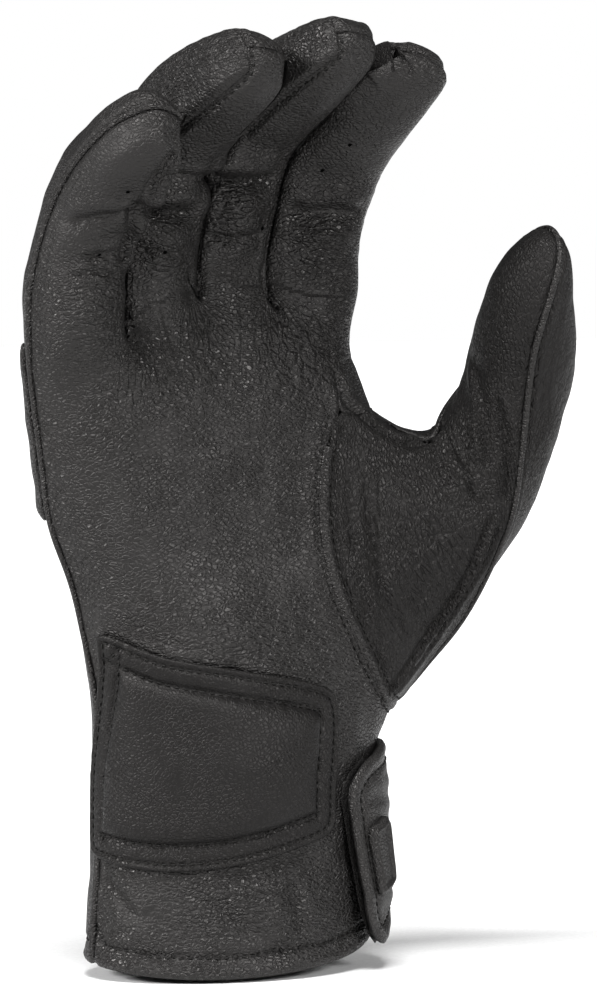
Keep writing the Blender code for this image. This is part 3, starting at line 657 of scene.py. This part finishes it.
def fold_heights(skin, line, width, depth):
    """A fold along a line: a valley between a full roll above and a softer one below, fading at both ends."""
    heights = np.zeros(len(skin.points))
    near = near_line(skin, line, FOLD_REACH * width)
    if not len(near) or len(line) < 2:
        return heights
    apart = skin.points[near][:, None] - line[None]
    gaps = np.linalg.norm(apart, axis=2)
    number = gaps.argmin(axis=1)
    gap = gaps.min(axis=1) / width * -np.sign(apart[np.arange(len(near)), number] @ UP)
    share = number / (len(line) - 1)
    fade = np.clip(np.minimum(share, 1 - share) * FOLD_FADE + FOLD_END, 0, 1)
    fade = np.where((number == 0) | (number == len(line) - 1), fade * hill(gap, 0, 1), fade)
    heights[near] = depth * fade * sum(high * hill(gap, middle, wide) for high, middle, wide in FOLD_PARTS)
    return heights


def groove_heights(skin, line, width=GROOVE_WIDTH, depth=GROOVE_DEPTH):
    heights = np.zeros(len(skin.points))
    near = near_line(skin, line, GROOVE_REACH * width)
    if len(near):
        heights[near] = -depth * hill(closest(skin.points[near], line)[1], 0, width)
    return heights


def row_grooves(skin, rows, depth=GROOVE_DEPTH):
    """Grooves under the stitch rows that a skin carries."""
    return sum(groove_heights(skin, row.path, depth=depth) for row in rows if row.skin is skin)


def wrinkle_heights(flow):
    """Low ridges along the wrinkle fields, wide enough for the mesh to carry."""
    cells = np.column_stack([flow[:, 0] / RIDGE_ACROSS, flow[:, 1] / RIDGE_ALONG, flow[:, 0] * 0])
    ridge = 1 - np.abs(noise(cells, RIDGE_SEED)) * RIDGE_SHARPNESS
    return RIDGE_HEIGHT * flow[:, 2] * np.clip(ridge, RIDGE_LOW, 1)


def wave_heights(points):
    return sum(height * noise(points / size, number) for number, (size, height) in enumerate(WAVES))


def outward(field, x, y):
    """How far out in a field places of the photograph lie, squared: 0 at its middle and 1 on its rim."""
    return ((x - field.x) / field.radius_x) ** 2 + ((y - field.y) / field.radius_y) ** 2


def wrinkle_flow(points, normals):
    """For each point: place across and along the fine wrinkles, their strength, and how calm the grain is."""
    x, y = photo_place(points)
    facing = np.clip((normals @ BACK - FACING_FROM) / FACING_SPAN, 0, 1)
    masks, flows = [], []
    for field in WRINKLES:
        masks.append(np.exp(-outward(field, x, y) * FIELD_FADE) * field.strength * facing)
        if field.fan:
            dx, dy = x - field.fan[0], y - field.fan[1]
            place = np.arctan2(dy, dx) * FAN_WIDTH, np.hypot(dx, dy)
        else:
            turn = math.radians(field.turn)
            place = y * math.cos(turn) - x * math.sin(turn), x * math.cos(turn) + y * math.sin(turn)
        flows.append(np.stack(place, axis=1) * PIXEL)
    masks = np.array(masks)
    order = np.argsort(-masks, axis=0)
    pick = np.arange(len(points))
    first, second = masks[order[0], pick], masks[order[1], pick]
    flow = np.array(flows)[order[0], pick]
    strength = np.sqrt(np.clip(first - second, 0, 1) * first)
    calm = np.zeros(len(points))
    for part in SMOOTHS:
        calm = np.maximum(calm, part.amount * np.exp(-outward(part, x, y) ** CALM_FADE) * facing)
    return np.column_stack([flow, strength * (1 - calm), calm])


def bulge_heights(points, normals):
    x, y = photo_place(points)
    facing = np.clip(normals @ BACK / BULGE_SPAN, 0, 1)
    return sum(bulge.height * np.exp(-outward(bulge, x, y)) * facing for bulge in BULGES)


# Meshes

def piece(name, points, faces, material, *replaced, slot="leather"):
    """A piece of the glove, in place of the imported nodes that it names."""
    data = bpy.data.meshes.new(name)
    data.from_pydata(points.tolist(), [], faces.tolist())
    data.materials.append(material)
    data.shade_smooth()
    made = linked(name, data)
    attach(made, "root")
    if replaced:
        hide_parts(*replaced)
    return made


def skin_piece(name, skin, thickness, material, *replaced):
    """A skin with its thickness, and with its wrinkles as attributes that the leather reads."""
    made = piece(name, *edged(skin, thickness), material, *replaced)
    count = len(made.data.vertices)
    for key, kind, part in (("flow", "FLOAT_VECTOR", skin.flow[:, :3]), ("calm", "FLOAT", skin.flow[:, 3:])):
        values = np.zeros((count, part.shape[1]), np.float32)
        values[:len(part)] = part
        layer = made.data.attributes.new(key, kind, "POINT")
        layer.data.foreach_set("vector" if kind == "FLOAT_VECTOR" else "value", values.ravel())
    return made


def joined(parts):
    """Points and faces of several meshes as one."""
    starts = np.cumsum([0] + [len(points) for points, _ in parts])
    return (
        np.concatenate([points for points, _ in parts]),
        np.concatenate([faces + start for (_, faces), start in zip(parts, starts)]),
    )


def edged(skin, thickness):
    """The skin with its edge turned in: the open loops go down by the thickness, bowed a little outwards."""
    points, faces = [skin.points], [skin.faces]
    count = len(skin.points)
    for loop in skin.loops:
        edge = skin.points[loop]
        along = np.roll(edge, -1, axis=0) - np.roll(edge, 1, axis=0)
        out = smoothed(unit(np.cross(along, skin.normals[loop])), EDGE_SMOOTHING, True)
        above = loop
        for bow, drop in EDGE_PROFILE:
            points.append(edge + out * EDGE_BOW * bow - skin.normals[loop] * thickness * drop)
            below = count + np.arange(len(loop))
            faces.append(np.stack([np.roll(above, -1), above, below, np.roll(below, -1)], axis=1))
            above = below
            count += len(loop)
    return np.concatenate(points), np.concatenate(faces)


def tube_faces(count, size):
    """Quads of a tube: a count of rings, each of a size."""
    ring = np.arange(size)
    after = (ring + 1) % size
    quads = np.stack([ring, after, after + size, ring + size], axis=1)
    return np.concatenate([quads + k * size for k in range(count - 1)])


def swept(path, ups, profile, taper=0.0):
    """Points and quads of a closed profile, of places across and up, carried along a path."""
    count = len(path)
    along = unit(np.gradient(path, axis=0))
    ups = unit(ups - along * (ups * along).sum(axis=1, keepdims=True))
    across = np.cross(along, ups)
    share = np.minimum(np.arange(count), np.arange(count)[::-1]) / (count - 1)
    full = np.sqrt(np.clip(share / taper, TAPER_LEAST, 1)) if taper else np.ones(count)
    profile = np.array(profile)
    offsets = across[:, None] * profile[None, :, :1] + ups[:, None] * profile[None, :, 1:]
    points = path[:, None] + offsets * full[:, None, None]
    return points.reshape(-1, 3), tube_faces(count, len(profile))


def stitch_row(path, ups):
    """Points and quads of a row of stitches, each a short bowed thread whose ends dip into the leather."""
    lengths = run_lengths(path)
    count = int(lengths[-1] / STITCH_PITCH)

    def at(place, line):
        return np.array([np.interp(place, lengths, line[:, k]) for k in range(3)])

    points, faces = [], []
    for number in range(count):
        for ring in range(STITCH_RINGS):
            share = ring / (STITCH_RINGS - 1) * 2 - 1
            place = (number + 0.5) * lengths[-1] / count + share * STITCH_LENGTH / 2
            along = unit(at(place + STITCH_AHEAD, path) - at(place - STITCH_AHEAD, path))
            up = at(place, ups)
            up = unit(up - along * (up @ along))
            side = np.cross(along, up)
            thick = STITCH_RADIUS * math.sqrt(max(1 - share ** 4, STITCH_END))
            centre = at(place, path) + up * STITCH_RADIUS * (STITCH_RISE - STITCH_DIP * share ** 4)
            for turn in range(STITCH_SIDES):
                angle = 2 * math.pi * turn / STITCH_SIDES
                points.append(centre + up * thick * math.sin(angle) + side * thick * math.cos(angle))
        base = number * STITCH_RINGS * STITCH_SIDES
        faces.extend((tube_faces(STITCH_RINGS, STITCH_SIDES) + base).tolist())
        last = base + (STITCH_RINGS - 1) * STITCH_SIDES
        for start, corners in ((base, (0, 5, 4, 3, 2, 1)), (last, (0, 1, 2, 3, 4, 5))):
            for k in (1, 3):
                faces.append(tuple(start + corners[m] for m in (0, k, k + 1, k + 2)))
    return np.array(points), np.array(faces)


def stitches(rows):
    """Points and quads of all rows of stitches, laid on the skins that carry them."""
    parts = []
    for skin, path, closed in rows:
        if closed:
            path = np.concatenate([path, path[:1]])
        found = [skin.tree.find_nearest(point)[:2] for point in path]
        places, ups = (np.array([tuple(hit[k]) for hit in found]) for k in range(2))
        parts.append(stitch_row(places, smoothed(ups, STITCH_SMOOTHING)))
    return joined(parts)


def painted_hole_shades(skins):
    """Points and quads of the vent holes, each a small black dish of painted shade."""
    parts = []
    for x, y in HOLES:
        place, normal = photo_hit(skins, x, y)
        side = normal.orthogonal().normalized()
        other = normal.cross(side)
        points = [place + normal * HOLE_LIFT]
        for turn in range(HOLE_SIDES):
            angle = 2 * math.pi * turn / HOLE_SIDES
            out = (side * math.cos(angle) + other * math.sin(angle)) * HOLE_RADIUS
            points.append(place + out + normal * HOLE_RIM_LIFT)
        faces = [
            (0, 1 + k, 1 + (k + 1) % HOLE_SIDES, 1 + (k + 2) % HOLE_SIDES) for k in range(0, HOLE_SIDES, 2)
        ]
        parts.append((np.array([tuple(point) for point in points]), np.array(faces)))
    return joined(parts)


def loop_tape():
    """Points and quads of the loop tape's solid, refined whole, with its sharp edges rounded."""
    mesh = welded("loop_patch")
    creases = {
        frozenset(v.index for v in edge.verts): LOOP_CREASE
        for edge in mesh.edges if edge.calc_face_angle(0.0) > SHARP
    }
    points, faces = face_arrays(mesh.faces)
    mesh.free()
    points, faces = subdivided(points, faces, LOOP_LEVELS, creases)
    return points + point_normals(points, faces) * (wave_heights(points) * LOOP_WAVES)[:, None], faces


# Materials

class Nodes:
    """Short calls for a material's nodes."""

    def __init__(self, name):
        self.material = bpy.data.materials.new(name)
        self.material.use_nodes = True
        self.tree = self.material.node_tree
        self.shader = self.tree.nodes["Principled BSDF"]
        self.place = self.add("ShaderNodeTexCoord").outputs["Object"]

    def feed(self, socket, value):
        if isinstance(value, bpy.types.NodeSocket):
            self.tree.links.new(value, socket)
        else:
            socket.default_value = value

    def add(self, kind, inputs=None, **settings):
        node = self.tree.nodes.new(kind)
        for key, value in settings.items():
            setattr(node, key, value)
        for key, value in (inputs or {}).items():
            self.feed(node.inputs[key], value)
        return node

    def math(self, operation, a, b):
        return self.add("ShaderNodeMath", {0: a, 1: b}, operation=operation).outputs[0]

    def times(self, first, *others):
        for other in others:
            first = self.math("MULTIPLY", first, other)
        return first

    def vector(self, operation, *values):
        return self.add("ShaderNodeVectorMath", dict(enumerate(values)), operation=operation).outputs[0]

    def ranged(self, value, low, high, new_low, new_high):
        return self.add("ShaderNodeMapRange", {
            "Value": value, "From Min": low, "From Max": high, "To Min": new_low, "To Max": new_high
        }, interpolation_type="SMOOTHSTEP").outputs["Result"]

    def noise(self, scale, output="Fac", detail=1.0):
        inputs = {"Vector": self.place, "Scale": scale, "Detail": detail}
        return self.add("ShaderNodeTexNoise", inputs).outputs[output]

    def cracks(self, vector, scale, dimensions="3D"):
        """Distance to the cracks between cells."""
        return self.add(
            "ShaderNodeTexVoronoi", {"Vector": vector, "Scale": scale},
            voronoi_dimensions=dimensions, feature="DISTANCE_TO_EDGE"
        ).outputs["Distance"]

    def mixed(self, factor, first, second):
        inputs = {"Factor": factor, "A": first, "B": second}
        return self.add("ShaderNodeMix", inputs, data_type="RGBA").outputs["Result"]

    def bump(self, height, strength=1.0, distance=1.0):
        inputs = {"Strength": strength, "Distance": distance, "Height": height}
        return self.add("ShaderNodeBump", inputs).outputs["Normal"]

    def finish(self, **values):
        for key, value in values.items():
            self.feed(self.shader.inputs[key.replace("_", " ")], value)
        return self.material


def leather_material(look):
    """Black pebbled leather: rounded cells parted by fine cracks, and wrinkles along the flow attribute."""
    n = Nodes(look.name)
    warp, patchy, pores = n.noise(WARP_SCALE, "Color"), n.noise(PATCH_SCALE), n.noise(PORE_SCALE)
    laid = n.vector("MULTIPLY_ADD", warp, (PEBBLE_WARP,) * 3, n.vector("MULTIPLY", n.place, look.stretch))
    pebble = n.ranged(n.cracks(laid, PEBBLE_SCALE), 0.0, PEBBLE_EDGE, 0.0, 1.0)
    calm = n.add("ShaderNodeAttribute", attribute_name="calm").outputs["Fac"]
    strong = n.times(n.ranged(patchy, *PATCH_RANGE), n.math("SUBTRACT", 1.0, calm))
    height = n.times(pebble, PEBBLE_HEIGHT * look.grain, strong)
    height = n.math("ADD", height, n.times(pores, PORE_HEIGHT * look.grain))
    if look.wrinkled:
        flow = n.add("ShaderNodeAttribute", attribute_name="flow").outputs["Vector"]
        bend = n.vector("MULTIPLY", warp, (STREAK_WARP, STREAK_WARP, 0.0))
        along = n.vector("MULTIPLY_ADD", flow, (STREAKS_ACROSS, STREAKS_ALONG, 0.0), bend)
        streaks = n.ranged(n.cracks(along, 1.0, "2D"), 0.0, STREAK_EDGE, 0.0, 1.0)
        strength = n.add("ShaderNodeSeparateXYZ", {"Vector": flow}).outputs["Z"]
        height = n.math("ADD", height, n.times(streaks, STREAK_HEIGHT, strength))
    rough = n.math("SUBTRACT", look.roughness + CRACK_ROUGHNESS, n.times(pebble, strong, PEBBLE_POLISH))
    rough = n.math("ADD", rough, n.times(n.math("SUBTRACT", patchy, 0.5), PATCH_ROUGHNESS))
    # Base colour darkens from the pebbles into the cracks: painted shade
    return n.finish(
        Base_Color=n.mixed(n.times(pebble, strong), CRACK_SHADE_COLOUR, PEBBLE_COLOUR), Roughness=rough,
        Specular_IOR_Level=look.specular, Specular_Tint=LEATHER_TINT, Normal=n.bump(height)
    )


def thread_material():
    """Dark twisted thread."""
    n = Nodes("thread")
    twist = n.add("ShaderNodeTexWave", {"Vector": n.place, "Scale": 2600.0, "Distortion": 2.0}).outputs["Fac"]
    return n.finish(
        Base_Color=n.mixed(twist, (0.004, 0.004, 0.004, 1.0), (0.012, 0.011, 0.010, 1.0)),
        Roughness=0.5, Specular_IOR_Level=0.16, Normal=n.bump(twist, 0.7, 0.00006)
    )


def tape_material():
    """The loop tape's matt pile."""
    n = Nodes("loop_tape_pile")
    loops = n.add("ShaderNodeTexVoronoi", {"Vector": n.place, "Scale": 1900.0}).outputs["Distance"]
    return n.finish(
        Base_Color=n.mixed(loops, (0.007, 0.007, 0.0075, 1.0), (0.002, 0.002, 0.0025, 1.0)),
        Roughness=0.9, Specular_IOR_Level=0.2, Normal=n.bump(loops, 0.8, 0.0003)
    )


def plain_material(name, colour, roughness, specular):
    """A faintly speckled colour."""
    n = Nodes(name)
    darker = tuple(0.8 * part for part in colour)
    return n.finish(
        Base_Color=n.mixed(n.noise(900.0, detail=2.0), (*colour, 1.0), (*darker, 1.0)),
        Roughness=roughness, Specular_IOR_Level=specular
    )


# Shaping the pieces

def edge_heights(skin):
    """A roll beside each open edge, a little puckered, and the edge itself turned down."""
    x, y = photo_place(skin.points)
    smooth = (x > SMOOTH_LEFT) & (x < SMOOTH_RIGHT) & (y > SMOOTH_TOP) & (y < SMOOTH_BOTTOM)
    pucker = 1 + ROLL_PUCKER * noise(skin.points / ROLL_PUCKER_SIZE, ROLL_SEED)
    roll = ROLL_HEIGHT * pucker * hill(skin.edge_distance, ROLL_IN, ROLL_WIDTH)
    heights = roll - EDGE_DROP * falling(skin.edge_distance, EDGE_WIDTH)
    return np.where(smooth, SMOOTH_SHARE * heights, heights)


def shape_skins(skins, rows):
    """Folds, waves, wrinkles, rolled edges, stitch grooves and the dents of the vent holes."""
    def laid(lines):
        return [(traced(skins, line.points), line.width, line.depth) for line in lines]

    folds, creases = laid(FOLDS), laid(CREASES)
    for skin in skins:
        skin.flow = wrinkle_flow(skin.points, skin.normals)
        heights = wave_heights(skin.points) + wrinkle_heights(skin.flow)
        heights += bulge_heights(skin.points, skin.normals)
        heights = heights * np.clip(skin.edge_distance / INLAND, INLAND_LEAST, 1) + edge_heights(skin)
        heights += row_grooves(skin, rows)
        for fold in folds:
            heights += fold_heights(skin, *fold)
        for crease in creases:
            heights += groove_heights(skin, *crease)
        for place in HOLES:
            heights += groove_heights(skin, traced(skins, (place, place)), HOLE_DENT_WIDTH, HOLE_DENT)
        skin.move(heights)


def shape_pad(pad, rows):
    """The heel pad: a flat sewn border round foam that rises steeply and is a little crowned."""
    gap = pad.edge_distance
    inside = np.clip(gap - PAD_FOAM, 0, None)
    heights = PAD_HEIGHT * (1 - np.exp(-inside / PAD_RISE))
    heights += PAD_CROWN * np.clip(inside / PAD_CROWN_WIDTH, 0, 1)
    heights += wave_heights(pad.points) * PAD_WAVES + bulge_heights(pad.points, pad.normals)
    pucker = hill(gap, PAD_FOAM, PAD_PUCKER_WIDTH) + PAD_BORDER_PUCKER * (gap < PAD_FOAM)
    heights += PAD_PUCKER * pucker * noise(pad.points / PAD_PUCKER_SIZE, PAD_SEED)
    heights += row_grooves(pad, rows, PATCH_GROOVE) - EDGE_DROP * falling(gap, EDGE_WIDTH)
    pad.flow = wrinkle_flow(pad.points, pad.normals) * (1, 1, PAD_WRINKLES, 1)
    pad.move(heights)


def shape_strap(strap, rows):
    """The strap: a full roll round its edge, a stitch row, and low ribs across it."""
    gap = strap.edge_distance
    ribs = RIB_HEIGHT * np.sin(strap.points[:, 2] / RIB_PITCH * 2 * math.pi)
    heights = STRAP_ROLL_HEIGHT * hill(gap, STRAP_ROLL, STRAP_ROLL_WIDTH)
    heights += ribs * np.clip((gap - RIB_FROM) / RIB_SPAN, 0, 1) + wave_heights(strap.points) * STRAP_WAVES
    heights += row_grooves(strap, rows, PATCH_GROOVE) - STRAP_EDGE_DROP * falling(gap, STRAP_EDGE_WIDTH)
    strap.move(heights)


# Stitch rows and seam lines

def beside_seam(skin, other, distance):
    return Row(skin, inset(skin, shared_run(skin, other), distance, False), False)


def round_patch(skin, distance):
    return Row(skin, inset(skin, skin.loops[0], distance, True), True)


def tip_rows(skins):
    """Rows over the fingertips, beside the strips between the fingers."""
    palm, rows = skins["palm_panel"], []
    for name in TIP_STRIPS:
        run = shared_run(palm, skins[name])
        tip = run[palm.points[run, 2] > TIP_ROW_FROM]
        if len(tip) > TIP_ROW_POINTS:
            rows.append(Row(palm, inset(palm, tip, FINGER_ROW, False), False))
    return rows


def hem_row(skin):
    """A row on one of the cuff's two panels, a fixed way above the hem."""
    loop = max(skin.loops, key=len)
    hem = [k for k in loop if skin.points[k, 2] < HEM_TOP and abs(skin.normals[k, 2]) < HEM_LEVEL]
    hem = sorted(hem, key=lambda k: skin.points[k, 0])
    line = skin.points[hem] + np.array([0, 0, HEM_ROW])
    return Row(skin, smoothed(line[HEM_TRIM:-HEM_TRIM], HEM_SMOOTHING), False)


def seam_path(skin, other):
    """The line of a seam and its outward ways, along the first panel's edge."""
    run = shared_run(skin, other)[SEAM_TRIM:-SEAM_TRIM]
    return smoothed(skin.points[run], SEAM_LINE_SMOOTHING), smoothed(skin.normals[run], SEAM_UPS_SMOOTHING)


def piping(path, ups):
    turns = np.linspace(0, 2 * math.pi, PIPING_SIDES, endpoint=False)
    profile = np.stack([np.cos(turns), np.sin(turns)], axis=1) * PIPING_RADIUS + [0, PIPING_LIFT]
    return swept(path, ups, profile, PIPING_TAPER)


# The glove

def build_glove():
    leather, thumb_leather, pad_leather, strap_leather, inside = (leather_material(look) for look in LEATHERS)

    skins = {node: Skin(node, levels) for node, levels in PANELS.items()}
    panels = list(skins.values())
    pad, strap, badge, guard = map(Skin, ("heel_patch", "wrist_strap", "strap_badge", "edge_guard"))
    tug_skins([*panels, pad, strap, badge, guard], TUGS)
    tug_skins([strap, badge], STRAP_TUGS)
    close_slits(skins)
    for _ in range(SEAM_PASSES):
        draw_seams(skins)

    palm, back = skins["palm_panel"], skins["back_panel"]
    front, thumb_back = skins["thumb_front_panel"], skins["thumb_back_panel"]
    rows = [
        beside_seam(palm, front, BAND_ROW), beside_seam(front, palm, BAND_ROW),
        beside_seam(back, thumb_back, SEAM_ROW), *tip_rows(skins), hem_row(palm), hem_row(back),
        *(round_patch(pad, distance) for distance in PAD_ROWS), round_patch(strap, STRAP_ROW),
    ]
    sewn = (palm, front), (palm, back), (front, thumb_back)
    band_line, pinky_line, thumb_line = (seam_path(*pair) for pair in sewn)
    shape_skins(panels, rows)
    shape_pad(pad, rows)
    shape_strap(strap, rows)
    badge.move(BADGE_RIM_HEIGHT * hill(badge.edge_distance, BADGE_RIM, BADGE_RIM_WIDTH))
    guard.move(wave_heights(guard.points) - GUARD_DROP * falling(guard.edge_distance, GUARD_TAPER))

    piece("thumb_seam_band", *swept(*band_line, BAND), leather)
    piece("pinky_welt_piping", *piping(*pinky_line), leather, "pinky_welt")
    piece("thumb_welt_piping", *piping(*thumb_line), leather, "thumb_welt")
    skin_piece("wrist_strap_leather", strap, STRAP_THICKNESS, strap_leather, "wrist_strap")
    skin_piece("strap_badge_leather", badge, LEATHER, strap_leather, "strap_badge")
    skin_piece("edge_guard_leather", guard, LEATHER, leather, "edge_guard")
    for node, skin in skins.items():
        skin_piece(node + "_leather", skin, LEATHER, thumb_leather if "thumb" in node else leather, node)
    cushion = skin_piece("heel_pad_leather", pad, PAD_THICKNESS, pad_leather, "heel_patch", "heel_cushion")
    piece("lining", *joined([skin.lining() for skin in (*panels, strap, guard)]), inside)
    piece("loop_patch_leather", *loop_tape(), tape_material(), "loop_patch", slot="loop_tape")
    piece("seam_stitches", *stitches(rows), thread_material())
    # The vent holes' dark insides are painted shade: black dishes on the leather
    piece("painted_hole_shades", *painted_hole_shades(panels), plain_material("hole_shadow", (0.001, 0.001, 0.001), 0.9, 0.0))


# Stage

def build_world():
    """A dim room with a white backdrop straight behind the glove."""
    world = bpy.data.worlds.new("studio")
    world.use_nodes = True
    nodes, links = world.node_tree.nodes, world.node_tree.links
    place = nodes.new("ShaderNodeTexCoord")
    behind = nodes.new("ShaderNodeVectorMath")
    behind.operation = "DOT_PRODUCT"
    behind.inputs[1].default_value = -BACK
    links.new(place.outputs["Generated"], behind.inputs[0])
    white = nodes.new("ShaderNodeMapRange")
    for name, value in zip(("From Min", "From Max", "To Min", "To Max"), WORLD_RANGE):
        white.inputs[name].default_value = value
    links.new(behind.outputs["Value"], white.inputs["Value"])
    links.new(white.outputs["Result"], nodes["Background"].inputs["Strength"])
    nodes["Background"].inputs["Color"].default_value = (1.0, 1.0, 1.0, 1.0)
    bpy.context.scene.world = world


def build_stage():
    low, reach = cad_box[0][2] - FLOOR_GAP, FLOOR_REACH
    data = bpy.data.meshes.new("floor")
    corners = [(-reach, -reach, low), (reach, -reach, low), (reach, reach, low), (-reach, reach, low)]
    data.from_pydata(corners, [], [(0, 1, 2, 3)])
    data.materials.append(plain_material("pale_floor", FLOOR_COLOUR, FLOOR_ROUGHNESS, FLOOR_SHINE))
    floor = linked("floor", data)
    build_world()
    bpy.context.scene.view_settings.view_transform = "Standard"
    for name, azimuth, elevation, angle, strength in SUNS:
        light = bpy.data.lights.new(name, "SUN")
        light.energy = strength
        light.angle = math.radians(angle)
        way = Vector(way_to(azimuth, elevation))
        linked(name, light).rotation_euler = way.to_track_quat("Z", "Y").to_euler()


add_camera()
build_glove()
build_stage()
